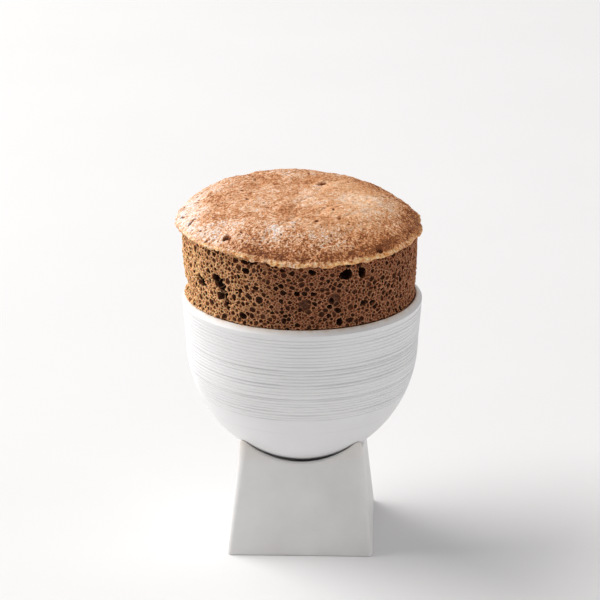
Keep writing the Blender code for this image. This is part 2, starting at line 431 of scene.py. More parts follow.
def edge_quads(air, index, axis):
    """A quad between the four cells about each edge along an axis that the surface crosses."""
    shape = index.shape
    step, side_a, side_b = np.roll(GRID_STEPS, -axis, axis=0)
    upper = np.array(air.shape) - step
    before = air[:upper[0], :upper[1], :upper[2]]
    edges = np.argwhere(before != air[step[0]:, step[1]:, step[2]:])
    about = [(edges - side_a * a - side_b * b) for a, b in ((0, 0), (1, 0), (1, 1), (0, 1))]
    kept = edges[:, 0] < shape[0]
    for cells in about:
        cells[:, 0] %= shape[0]
        kept &= np.all((cells >= 0) & (cells < shape), axis=1)
    quads = np.stack([index[tuple(cells[kept].T)] for cells in about], axis=1)
    outward = before[tuple(edges[kept].T)]
    quads[~outward] = quads[~outward][:, ::-1]
    return quads


def surface_net(field):
    """Points, in grid steps, and quads of the zero level, wrapping round the first axis."""
    wrapped = np.concatenate([field, field[:1]], axis=0)
    air = wrapped > 0.0
    cells = crossed_cells(air)
    index = np.full(np.array(wrapped.shape) - 1, -1, np.int64)
    index[tuple(cells.T)] = np.arange(len(cells))
    quads = [edge_quads(air, index, axis) for axis in range(3)]
    return cell_points(wrapped, cells), np.concatenate(quads)


def without_islands(count, quads):
    """The quads without those of small pieces that hang together on their own."""
    label = np.arange(count)
    while True:
        lowest = label[quads].min(axis=1)
        merged = label.copy()
        for i in range(4):
            np.minimum.at(merged, quads[:, i], lowest)
        merged = merged[merged]
        if np.array_equal(merged, label):
            break
        label = merged
    size = np.bincount(label, minlength=count)
    return quads[size[label[quads[:, 0]]] > SMALLEST_ISLAND]


def convexity(points, quads):
    """How far each point stands out from the points about it, in millimetres."""
    diagonals = points[quads[:, 2]] - points[quads[:, 0]], points[quads[:, 3]] - points[quads[:, 1]]
    facing = np.cross(*diagonals)
    normal = np.zeros_like(points)
    total = np.zeros_like(points)
    count = np.zeros(len(points))
    for i in range(4):
        here, after = quads[:, i], quads[:, (i + 1) % 4]
        for axis in range(3):
            normal[:, axis] += np.bincount(here, facing[:, axis], len(points))
            total[:, axis] += np.bincount(here, points[after, axis], len(points))
            total[:, axis] += np.bincount(after, points[here, axis], len(points))
        count += np.bincount(here, minlength=len(points)) + np.bincount(after, minlength=len(points))
    normal /= np.maximum(np.linalg.norm(normal, axis=1), 1e-9)[:, None]
    return np.sum((points - total / np.maximum(count, 1.0)[:, None]) * normal, axis=1)


def make_crumb(material):
    """The bubbled wall of the souffle, in sectors that meet point on point."""
    field, origin = crumb_field(np.random.default_rng(CRUMB_SEED))
    points, quads = surface_net(field)
    quads = without_islands(len(points), quads)
    steps = field.shape[0]
    column = np.floor(points[:, 0]).astype(int)
    angle = points[:, 0] * TURN / steps
    up = points[:, 1] * CRUMB_CELL + origin[1]
    depth = points[:, 2] * CRUMB_CELL + origin[2]
    placed = wall_point(angle, up, depth)
    # How far each point stands out; it sets the painted highlight on the edges between bubbles.
    painted_ridge_highlight = convexity(placed, quads)
    quad_column = column[quads]
    span = quad_column.max(axis=1) - quad_column.min(axis=1)
    first = np.where(span > steps // 2, steps - 1, quad_column.min(axis=1))
    pieces = []
    for sector in range(CRUMB_SECTORS):
        low, high = (steps * s // CRUMB_SECTORS for s in (sector, sector + 1))
        chosen = quads[(first >= low) & (first < high)]
        used, faces = np.unique(chosen, return_inverse=True)
        layers = {"depth": depth[used], "painted_ridge_highlight": painted_ridge_highlight[used]}
        piece = make_mesh(f"crumb_{sector + 1}", placed[used], faces.reshape(chosen.shape), layers)
        piece.data.materials.append(material)
        pieces.append(piece)
    return pieces


# ---- crust

CRUST_GRID = 250
# Holes broken into the crust: x, y, half width, half length, turn in degrees, depth
CRUST_HOLES = (
    (-12.0, -11.2, 0.8, 0.9, 0.0, 1.2), (-26.1, -30.6, 1.1, 1.5, -30.0, 1.5),
    (-24.9, -31.6, 0.8, 1.1, 20.0, 1.3), (6.8, 16.5, 0.9, 2.2, -40.0, 1.5),
    (27.9, 32.5, 0.8, 1.7, -50.0, 1.0), (28.4, -31.6, 1.2, 1.7, -20.0, 2.0),
    (39.2, -12.1, 0.8, 1.3, 10.0, 1.4), (-43.2, -2.9, 0.5, 1.6, 15.0, 1.0),
    (-39.9, -12.9, 0.6, 1.8, -25.0, 1.0), (-18.0, 21.0, 0.7, 0.9, 0.0, 1.0),
    (14.0, -20.0, 0.5, 0.7, 0.0, 0.9), (30.0, 12.0, 0.6, 0.9, 40.0, 1.0),
)
PORE_COUNT = 380
PORE_REACH = 44.0
PORE_INNER_SHARE = 0.12  # how dense pores are in the middle, against 1 at the edge
PORE_SIZE = (0.2, 0.42)
PORE_STRETCH = (1.0, 1.8)
LARGE_PORES = 0.93  # draws above this make a pore half as large again
PIT_SLOPE = (0.55, 1.25)  # shares of a hole's radius between which its side runs down
HOLE_DEPTH = 0.5  # a pit as deep as this looks like a hole
# Broad tones, partly the crust's own mottling and partly painted light: the pale patches are a painted sheen
# and painted highlights, the largest at the left, and the dark ones at the right edge are painted shade. x,
# y, half sizes and how far towards pale (positive) or dark brown (negative)
TONE_AND_PAINTED_LIGHT_PATCHES = (
    (-43.0, -2.0, 10.0, 26.0, 2.5), (-30.0, -27.0, 12.0, 10.0, 1.8), (10.0, 0.0, 24.0, 14.0, 0.4),
    (22.0, -10.0, 9.0, 12.0, 0.4), (-5.0, 36.0, 10.0, 6.0, 0.4), (-30.0, 22.0, 12.0, 12.0, 0.35),
    (41.5, 4.0, 6.0, 26.0, -2.2), (31.0, 29.0, 9.0, 7.0, -1.6), (24.0, -31.0, 12.0, 7.0, -1.1),
    (0.0, -41.0, 22.0, 4.5, -0.5), (-15.0, 20.0, 10.0, 7.0, -0.7), (-20.0, -4.0, 9.0, 9.0, -0.4),
    (4.0, -16.0, 12.0, 6.0, -0.25), (10.0, 24.0, 9.0, 7.0, -0.4),
    (-8.7, -31.0, 2.8, 4.6, 1.9), (-2.8, -27.7, 2.2, 3.8, 1.5), (2.8, 2.3, 6.0, 8.0, 0.8),
    (24.0, 0.0, 12.0, 17.0, 1.5), (4.0, -33.0, 2.4, 3.0, 1.3), (13.0, 3.0, 4.0, 7.0, 0.8),
)
# Painted shade: a band just inside the front edge is painted darker.
PAINTED_SHADE_BAND = -1.7  # tone just inside the front edge
# Shares of the crust's radius between which the band sets in and ends, the pale lip sets in
# and the edge becomes ragged
BAND_RISE = (0.87, 0.94)
BAND_FALL = (0.965, 0.985)
LIP_RISE = (0.977, 0.990)
RAGGED_RISE = (0.93, 1.0)
# Wrinkles and creases: stretch along them, size and seed
WRINKLES = (0.3, 2.6, 43)
CREASES = (0.4, 9.0, 48)
WRINKLE_HEIGHT = 0.26
CREASE_DEPTH = 0.45
GRAIN_HEIGHT = 0.16
FOLD = (-38.0, 34.0, 0.55)  # a step in the crust: angle, width and height
# Rounded lip and underside: how far out and how many thicknesses down from the top's edge
LIP_OUTLINE = ((0.10, 0.22), (0.16, 0.5), (0.08, 0.8), (-0.15, 1.0), (-0.6, 1.05), (-1.5, 0.9),
               (-3.0, 0.6), (-6.0, 0.2), (-12.0, 0.0))
LIP_RINGS = 5  # of them on the pale lip; the others are on the underside


def disc_grid(count):
    """A square grid of points bent into a unit disc, evenly spread in area."""
    side = np.linspace(-1.0, 1.0, count)
    a, b = np.meshgrid(side, side, indexing="ij")
    wide = np.abs(a) > np.abs(b)
    radius = np.where(wide, a, b)
    other = np.where(wide, b, a)
    ratio = np.divide(other, radius, out=np.zeros_like(a), where=radius != 0.0)
    angle = np.where(wide, ratio * math.pi / 4, math.pi / 2 - ratio * math.pi / 4)
    x, y = radius * np.cos(angle), radius * np.sin(angle)
    return np.hypot(x, y).ravel(), np.arctan2(y, x).ravel()


def border_loop(count):
    """Indices of the square grid's border, in anticlockwise order."""
    grid = np.arange(count * count).reshape(count, count)
    return np.concatenate([grid[:-1, 0], grid[-1, :-1], grid[:0:-1, -1], grid[0, :0:-1]])


def brim_radius(radius, angle):
    """The crust's outer edge, ragged only close to it, for points at a share of its radius."""
    spot = around(BRIM_RADIUS, angle, 0.0)
    uneven = layered(spot, BRIM_NOISE)
    uneven += sum(amount * bell(angle, middle, width) for middle, width, amount in BRIM_BULGES)
    ragged = layered(spot, RAGGED_NOISE)
    ragged *= smoothstep(*RAGGED_RISE, radius) * smoothstep(-0.5, 0.3, noise(spot, 8.0, 34))
    return BRIM_RADIUS + 0.1 + uneven + ragged


def crust_top(radius, angle):
    """Height of the crust's upper side at a share of the brim's radius."""
    lift = brim_height(angle) - BRIM_Z
    return (BRIM_Z + CRUST_THICKNESS + radius ** 2 * lift
            + DOME_RISE * (1.0 - radius ** DOME_POWER))


def pore_list(rng):
    """Small pores, denser towards the edge, as rows like those of CRUST_HOLES."""
    rows = []
    while len(rows) < PORE_COUNT:
        share = math.sqrt(rng.uniform(0.0, 1.0))
        if rng.uniform(0.0, 1.0) > PORE_INNER_SHARE + (1.0 - PORE_INNER_SHARE) * share ** 5:
            continue
        angle = rng.uniform(0.0, TURN)
        size = rng.uniform(*PORE_SIZE) * (1.0 + 0.5 * (rng.uniform(0.0, 1.0) > LARGE_PORES))
        x = BRIM_CENTRE_X + share * PORE_REACH * math.cos(angle)
        y = share * PORE_REACH * math.sin(angle)
        rows.append((x, y, size, size * rng.uniform(*PORE_STRETCH), rng.uniform(0.0, 180.0), 0.9 * size))
    return rows


def pit_depth(x, y, rows):
    """How deep the crust is pitted at each point, and how much of a hole is there."""
    depth = np.zeros_like(x)
    hole = np.zeros_like(x)
    for pit_x, pit_y, wide, long, turn, deep in rows:
        near = np.flatnonzero((np.abs(x - pit_x) < long + 1.5) & (np.abs(y - pit_y) < long + 1.5))
        dx, dy = x[near] - pit_x, y[near] - pit_y
        cos, sin = math.cos(math.radians(turn)), math.sin(math.radians(turn))
        away = np.hypot((dx * cos + dy * sin) / wide, (dy * cos - dx * sin) / long)
        inside = 1.0 - smoothstep(*PIT_SLOPE, away)
        depth[near] = np.maximum(depth[near], deep * inside)
        hole[near] = np.maximum(hole[near], inside * min(1.0, deep / HOLE_DEPTH))
    return depth, hole


def tone_and_painted_light(x, y, radius, angle):
    """How pale or dark the crust is painted: its own mottling, painted sheen, highlights and shade, and a
    band of painted shade just inside its front edge.
    """
    band = smoothstep(*BAND_RISE, radius) * (1.0 - smoothstep(*BAND_FALL, radius))
    front = smoothstep(0.1, -0.5, np.sin(angle)) * smoothstep(-0.8, -0.35, np.cos(angle))
    amount = PAINTED_SHADE_BAND * band * front
    for patch_x, patch_y, wide, long, strength in TONE_AND_PAINTED_LIGHT_PATCHES:
        away = np.hypot((x - patch_x) / wide, (y - patch_y) / long)
        amount += strength * (1.0 - smoothstep(0.2, 1.3, away))
    return amount


def crust_relief(flat, radius, angle):
    """Bumps, wrinkles and creases of the crust's upper side; they run to the right and back."""
    along = 0.65 * flat[:, 0] + 0.75 * flat[:, 1]
    across = 0.65 * flat[:, 1] - 0.75 * flat[:, 0]

    def lines(stretch, size, seed):
        """1 on long wavering lines, less between them."""
        drawn_out = np.stack([across, stretch * along, np.zeros_like(along)], axis=1)
        return 1.0 - np.abs(noise(drawn_out, size, seed))

    fine = (0.45 + 0.4 * smoothstep(0.5, 0.85, radius)) * noise(flat, 0.85, 45)
    grain = 0.35 * noise(flat, 1.5, 44) + fine
    beyond = smoothstep(0.70, 0.79, radius + 0.04 * noise(flat, 9.0, 47))
    step = FOLD[2] * beyond * bell(angle, FOLD[0], FOLD[1])
    wrinkled = layered(flat, CRUST_NOISE) + WRINKLE_HEIGHT * lines(*WRINKLES) ** 5
    return wrinkled - CREASE_DEPTH * lines(*CREASES) ** 9 + GRAIN_HEIGHT * grain - step


def lip_rings(top, angle):
    """Rings from the edge of the crust's upper side round its lip and in along its underside."""
    droop = layered(around(BRIM_RADIUS, angle, 5.0), DROOP_NOISE)
    thick = CRUST_THICKNESS * (1.1 + 0.5 * noise(around(BRIM_RADIUS, angle, 9.0), 2.2, 52))
    rings = []
    for out, down in LIP_OUTLINE:
        ring = top + around(out, angle, 0.0) * np.array([1.0, 1.0, 0.0])
        ring[:, 2] = top[:, 2] - down * thick + droop * min(1.0, down)
        ring[:, 2] += 0.2 * noise(ring, 0.9, 53)
        rings.append(ring)
    return rings


def make_crust(material):
    """The thin baked crust: a domed upper side, a ragged lip and an underside."""
    radius, angle = disc_grid(CRUST_GRID)
    edge = brim_radius(radius, angle)
    points = around(radius * edge, angle, 0.0, BRIM_CENTRE_X)
    points[:, 2] = crust_top(radius, angle)
    x, y = points[:, 0], points[:, 1]
    rng = np.random.default_rng(PORE_SEED)
    pits, hole = pit_depth(x, y, list(CRUST_HOLES) + pore_list(rng))
    points[:, 2] += crust_relief(points, radius, angle) - pits
    loop = border_loop(CRUST_GRID)
    rings = lip_rings(points[loop], angle[loop])
    everything = np.concatenate([points] + rings + [np.mean(rings[-1], axis=0)[None]])
    grid = np.arange(CRUST_GRID ** 2).reshape(CRUST_GRID, CRUST_GRID)
    quads = [np.stack([grid[:-1, :-1], grid[1:, :-1], grid[1:, 1:], grid[:-1, 1:]], -1).reshape(-1, 4)]
    sides = len(loop)
    previous = loop
    for i in range(len(rings)):
        ring = len(points) + i * sides + np.arange(sides)
        quads.append(np.stack([previous, ring, np.roll(ring, -1), np.roll(previous, -1)], -1))
        previous = ring
    beneath = len(everything) - len(points)
    on_rings = [1.0] * LIP_RINGS + [0.4] * (len(rings) - LIP_RINGS)
    lip = np.concatenate([smoothstep(*LIP_RISE, radius), np.repeat(on_rings, sides), [0.0]])
    outer = smoothstep(0.45, 0.85, radius) * (1.0 - 0.6 * bell(angle, 180.0, 40.0))
    layers = {"lip": lip, "hole": np.append(hole, np.zeros(beneath)),
              "tone": np.append(tone_and_painted_light(x, y, radius, angle), np.zeros(beneath)),
              "outer": np.append(outer, np.ones(beneath))}
    crust = make_mesh("crust", everything, np.concatenate(quads), layers)
    add_fan(crust, previous[::-1], len(everything) - 1)
    crust.data.materials.append(material)
    return crust


# ---- bowl

# Turned grooves: height, depth and half width
STRONG_GROOVES = ((78.9, 0.42, 0.34), (73.2, 0.42, 0.34), (67.6, 0.40, 0.34), (60.9, 0.38, 0.34))
FAINT_GROOVES = ((52.2, 0.08, 0.3), (50.8, 0.10, 0.3))
GROOVE_BAND = (58.4, 90.6)
GROOVE_PITCH = (1.05, 1.45)
GROOVE_DEPTH = (0.23, 0.33)
GROOVE_HALF = (0.22, 0.28)
GROOVE_CLEARANCE = 0.7  # from the strong ones
GROOVE_WAVER = 0.10  # how far a groove wanders up and down
OUTSIDE_STEP = 0.12  # between the rings of the grooved band
RIM_ROUNDING = 0.35


def groove_list(rng):
    """Unevenly spaced grooves down the outside of the bowl."""
    grooves = list(STRONG_GROOVES)
    height = GROOVE_BAND[1]
    while height > GROOVE_BAND[0]:
        if min(abs(height - groove[0]) for groove in STRONG_GROOVES) > GROOVE_CLEARANCE:
            grooves.append((height, rng.uniform(*GROOVE_DEPTH), rng.uniform(*GROOVE_HALF)))
        height -= rng.uniform(*GROOVE_PITCH)
    return grooves + list(FAINT_GROOVES)


def groove_depth(angle, height):
    """How deep the bowl's outside is cut at each angle and height."""
    rng = np.random.default_rng(GROOVE_SEED)
    depth = np.zeros(np.broadcast(angle, height).shape)
    for level, deep, half in groove_list(rng):
        phase = rng.uniform(0.0, 50.0)
        spot = around(RIM_RADIUS, angle, phase)
        waver = GROOVE_WAVER * noise(spot, 22.0, 61)
        strength = 0.75 + 0.45 * noise(spot + np.array([0.0, 0.0, 7.0]), 16.0, 62)
        cut = np.exp(-((height - level - waver) / half) ** 2)
        depth = np.maximum(depth, deep * strength * cut)
    return depth


def outside_radius(height):
    """Radius of the bowl's outside at a height, without its grooves."""
    waist = BOWL_WAIST_Z
    edge = RIM_TOP_Z - RIM_SLOPE
    below = np.clip((waist - height) / BOWL_DEPTH, 0.0, 1.0)
    share = np.clip((height - waist) / (edge - waist), 0.0, 1.0)
    flare = (RIM_RADIUS - BOWL_WAIST_RADIUS) * (1.15 * share - 0.15 * share ** 2)
    return BOWL_WAIST_RADIUS * np.sqrt(1.0 - below ** 2) + flare


def bowl_profile():
    """The bowl's outline from near the middle of its inside, over the rim, down its outside."""
    waist = BOWL_WAIST_Z
    turn = np.linspace(-math.pi / 2, 0.0, 28)[1:]
    inside = [((BOWL_WAIST_RADIUS - WALL) * math.cos(t),
               waist + (BOWL_DEPTH - FLOOR_THICKNESS) * math.sin(t)) for t in turn]
    inner_edge = RIM_RADIUS - RIM_WIDTH
    inside += [(inner_edge - 0.3, RIM_TOP_Z - 3.0), (inner_edge - 0.05, RIM_TOP_Z - 0.7)]
    # The rim: its inner edge, its sloping band and its outer edge
    for t in np.linspace(math.pi, math.radians(60.0), 6):
        inside.append((inner_edge + RIM_ROUNDING * (1.0 + math.cos(t)),
                       RIM_TOP_Z - RIM_ROUNDING * (1.0 - math.sin(t))))
    edge_z = RIM_TOP_Z - RIM_SLOPE
    for share in np.linspace(0.12, 0.88, 6):
        inside.append((inner_edge + 0.55 + share * (RIM_WIDTH - 0.9),
                       RIM_TOP_Z - 0.05 - share * (RIM_SLOPE - 0.1)))
    for t in np.linspace(math.radians(58.0), 0.0, 5):
        inside.append((RIM_RADIUS - RIM_ROUNDING * (1.0 - math.cos(t)),
                       edge_z - RIM_ROUNDING * (1.0 - math.sin(t))))
    outside = [(float(outside_radius(z)), z)
               for z in np.arange(edge_z - 0.5, GROOVE_BAND[0] - 0.6, -OUTSIDE_STEP)]
    last = outside[-1][1]
    start = math.asin((waist - last) / BOWL_DEPTH)
    for t in np.linspace(start, math.pi / 2, 50)[1:-1]:
        outside.append((BOWL_WAIST_RADIUS * math.cos(t), waist - BOWL_DEPTH * math.sin(t)))
    return np.array(inside + outside), len(inside)


def make_bowl(material):
    """The turned bowl, closed at the middle of its inside and of its underside."""
    profile, first_outside = bowl_profile()
    angle = np.arange(BOWL_SIDES) * TURN / BOWL_SIDES
    radius = np.repeat(profile[:, :1], BOWL_SIDES, axis=1)
    height = np.repeat(profile[:, 1:], BOWL_SIDES, axis=1)
    angles = np.repeat(angle[None, :], len(profile), axis=0)
    cut = groove_depth(angles[first_outside:], height[first_outside:])
    radius[first_outside:] -= cut
    middles = np.array([[0.0, 0.0, BOWL_BOTTOM_Z + FLOOR_THICKNESS], [0.0, 0.0, BOWL_BOTTOM_Z]])
    points = np.concatenate([around(radius, angles, height).reshape(-1, 3), middles])
    groove = np.zeros(radius.shape)
    groove[first_outside:] = cut
    inward = 1.0 - smoothstep(RIM_RADIUS - RIM_WIDTH, RIM_RADIUS - 0.3, radius)
    # Where the rim's inner edge is painted with a brown reflection of the souffle and its shade.
    painted_brown_reflection = inward * (height > RIM_TOP_Z - 4.0)
    layers = {"groove": np.append(groove, np.zeros(2)), "painted_brown_reflection": np.append(painted_brown_reflection, np.zeros(2))}
    bowl = make_mesh("bowl_grooved", points, ring_quads(len(profile), BOWL_SIDES), layers)
    ring = np.arange(BOWL_SIDES)
    add_fan(bowl, ring, len(points) - 2)
    add_fan(bowl, (radius.size - BOWL_SIDES + ring)[::-1], len(points) - 1)
    bowl.data.materials.append(material)
    return bowl


# ---- pedestal

BASE_SIDE = 53.8
TOP_SIDE = 44.2
HOLLOW_RADIUS = 36.0
HOLLOW_CENTRE_Z = 64.1
BOWL_CLEARANCE = 0.12  # below the bowl, where the four tips hold it
CORNER_RADIUS = 1.6  # at the foot
CORNER_GROWTH = 1.8  # and this much more at the top
EDGE_ROUNDING = 0.45
FOOT_ROUNDING = 0.6
FLAT_STEPS = 44  # points along each flat side of the block
CORNER_STEPS = 12
SIDE_STEPS = 26  # rings up the sides, and again across the top
SEAT_BLEND = 0.2  # softness of the passage from the ball's shape to the bowl's
TIP_BLEND = 0.6  # and from there to the flat tips


def soft_lower(a, b, blend):
    """The lower of two values, with a smooth passage between them."""
    share = np.clip(0.5 + 0.5 * (b - a) / blend, 0.0, 1.0)
    return b * (1.0 - share) + a * share - blend * share * (1.0 - share)


def rounded_square():
    """Directions round a square: a point lies at corner * half side + outward * radius."""
    corner, outward = [], []
    for quarter in range(4):
        start = quarter * math.pi / 2 - math.pi / 4
        ahead = np.array([math.cos(start + math.pi / 4), math.sin(start + math.pi / 4)])
        across = np.array([-ahead[1], ahead[0]])
        for share in np.linspace(-1.0, 1.0, FLAT_STEPS, endpoint=False)[1:]:
            corner.append(ahead + share * across)
            outward.append(ahead)
        for turn in np.linspace(0.0, math.pi / 2, CORNER_STEPS):
            corner.append(ahead + across)
            outward.append(math.cos(turn) * ahead + math.sin(turn) * across)
    return np.array(corner), np.array(outward)


def hollow_height(points):
    """Height of the block's top: a ball's underside that passes into the bowl's shape."""
    away = np.hypot(points[:, 0], points[:, 1])
    ball = HOLLOW_CENTRE_Z - np.sqrt(HOLLOW_RADIUS ** 2 - away ** 2)
    bowl = BOWL_WAIST_Z - BOWL_DEPTH * np.sqrt(1.0 - (away / BOWL_WAIST_RADIUS) ** 2)
    seat = soft_lower(ball, bowl - BOWL_CLEARANCE, SEAT_BLEND)
    return soft_lower(seat, np.full_like(ball, PEDESTAL_HEIGHT), TIP_BLEND)


def make_pedestal(material):
    """The square block: tapered, softly edged, its top hollowed where the bowl sits."""
    corner, outward = rounded_square()

    def place(height, inset):
        side = BASE_SIDE + (TOP_SIDE - BASE_SIDE) * height / PEDESTAL_HEIGHT
        radius = np.maximum(CORNER_RADIUS + CORNER_GROWTH * height / PEDESTAL_HEIGHT - inset, 0.3)
        half = 0.5 * side - inset - radius
        flat = corner * half[:, None] + outward * radius[:, None]
        return np.concatenate([flat, height[:, None]], axis=1)

    zeros = np.zeros(len(corner))
    top = hollow_height(place(zeros + PEDESTAL_HEIGHT, zeros + EDGE_ROUNDING))
    rings = []
    for turn in np.linspace(math.pi / 2, 0.0, 5):
        inset = FOOT_ROUNDING * (1.0 - math.cos(turn))
        rings.append(place(zeros + FOOT_ROUNDING * (1.0 - math.sin(turn)), zeros + inset))
    for share in np.linspace(0.0, 1.0, SIDE_STEPS)[1:-1]:
        rings.append(place(FOOT_ROUNDING + share * (top - EDGE_ROUNDING - FOOT_ROUNDING), zeros))
    for turn in np.linspace(0.0, math.pi / 2, 6):
        inset = EDGE_ROUNDING * (1.0 - math.cos(turn))
        rings.append(place(top - EDGE_ROUNDING * (1.0 - math.sin(turn)), zeros + inset))
    edge = rings[-1]
    for share in 1.0 - np.linspace(0.0, 1.0, SIDE_STEPS)[1:-1] ** 1.2:
        ring = edge * np.array([share, share, 1.0])
        ring[:, 2] = hollow_height(ring)
        rings.append(ring)
    sides = len(corner)
    bottom_middle = np.zeros((1, 3))
    top_middle = np.array([[0.0, 0.0, HOLLOW_CENTRE_Z - HOLLOW_RADIUS]])
    points = np.concatenate(rings + [bottom_middle, top_middle])
    pedestal = make_mesh("pedestal_block", points, ring_quads(len(rings), sides)[:, ::-1])
    add_fan(pedestal, np.arange(sides)[::-1], len(points) - 2)
    add_fan(pedestal, (len(rings) - 1) * sides + np.arange(sides), len(points) - 1)
    pedestal.data.materials.append(material)
    return pedestal


# ---- materials

# The colour sockets of a mix node, which shares their names with others
MIX_FIRST, MIX_SECOND, MIX_RESULT = 6, 7, 2


class Nodes:
    """Short names for building a material's node tree."""

    def __init__(self, name):
        self.material = bpy.data.materials.new(name)
        self.material.use_nodes = True
        self.tree = self.material.node_tree
        self.shader = self.tree.nodes["Principled BSDF"]
        coordinates = self.tree.nodes.new("ShaderNodeTexCoord")
        self.place = coordinates.outputs["Object"]

    def link(self, source, target):
        """Connects an output to an input."""
        self.tree.links.new(source, target)

    def attribute(self, name):
        """A value that the mesh holds at each point."""
        node = self.tree.nodes.new("ShaderNodeAttribute")
        node.attribute_name = name
        return node.outputs["Fac"]

    def axis(self, name):
        """One coordinate of the shaded point, in metres."""
        node = self.tree.nodes.new("ShaderNodeSeparateXYZ")
        self.link(self.place, node.inputs["Vector"])
        return node.outputs[name]

    def noise(self, size, detail=3.0, roughness=0.55):
        """Noise from 0 to 1 whose features measure size, in metres."""
        node = self.tree.nodes.new("ShaderNodeTexNoise")
        node.inputs["Scale"].default_value = 1.0 / size
        node.inputs["Detail"].default_value = detail
        node.inputs["Roughness"].default_value = roughness
        self.link(self.place, node.inputs["Vector"])
        return node.outputs["Fac"]

    def cells(self, size):
        """Distance from the nearest of scattered points, in cell sizes."""
        node = self.tree.nodes.new("ShaderNodeTexVoronoi")
        node.inputs["Scale"].default_value = 1.0 / size
        self.link(self.place, node.inputs["Vector"])
        return node.outputs["Distance"]

    def ramp(self, value, *stops):
        """Colours at positions: each stop is a position and an (r, g, b)."""
        node = self.tree.nodes.new("ShaderNodeValToRGB")
        elements = node.color_ramp.elements
        while len(elements) < len(stops):
            elements.new(0.5)
        for element, (position, colour) in zip(elements, stops):
            element.position = position
            element.color = (*colour, 1.0)
        self.link(value, node.inputs["Fac"])
        return node.outputs["Color"]

    def range(self, value, low, high, to_low=0.0, to_high=1.0):
        """A value brought from one range to another and held within it."""
        node = self.tree.nodes.new("ShaderNodeMapRange")
        limits = {"From Min": low, "From Max": high, "To Min": to_low, "To Max": to_high}
        for socket, number in limits.items():
            node.inputs[socket].default_value = number
        self.link(value, node.inputs["Value"])
        return node.outputs["Result"]

    def mix(self, factor, first, second, blend="MIX"):
        """Mixes two colours; either may be an (r, g, b) or a socket."""
        node = self.tree.nodes.new("ShaderNodeMix")
        node.data_type = "RGBA"
        node.blend_type = blend
        if isinstance(factor, float):
            node.inputs["Factor"].default_value = factor
        else:
            self.link(factor, node.inputs["Factor"])
        for socket, value in ((MIX_FIRST, first), (MIX_SECOND, second)):
            if isinstance(value, tuple):
                node.inputs[socket].default_value = (*value, 1.0)
            else:
                self.link(value, node.inputs[socket])
        return node.outputs[MIX_RESULT]

    def math(self, operation, first, second):
        """A sum or product of two values; either may be a float or a socket."""
        node = self.tree.nodes.new("ShaderNodeMath")
        node.operation = operation
        for socket, value in enumerate((first, second)):
            if isinstance(value, float):
                node.inputs[socket].default_value = value
            else:
                self.link(value, node.inputs[socket])
        return node.outputs[0]

    def add(self, first, second):
        return self.math("ADD", first, second)

    def scaled(self, value, factor):
        return self.math("MULTIPLY", value, factor)

    def bump(self, height, distance, strength):
        """Fine unevenness of the shader's normal; the distance is in metres."""
        node = self.tree.nodes.new("ShaderNodeBump")
        node.inputs["Distance"].default_value = distance
        node.inputs["Strength"].default_value = strength
        self.link(height, node.inputs["Height"])
        self.link(node.outputs["Normal"], self.shader.inputs["Normal"])

    def set(self, **values):
        """Sets or links the shader's inputs, whose names are written with underscores."""
        for name, value in values.items():
            socket = self.shader.inputs[name.replace("_", " ")]
            if isinstance(value, (int, float, tuple)):
                socket.default_value = value
            else:
                self.link(value, socket)


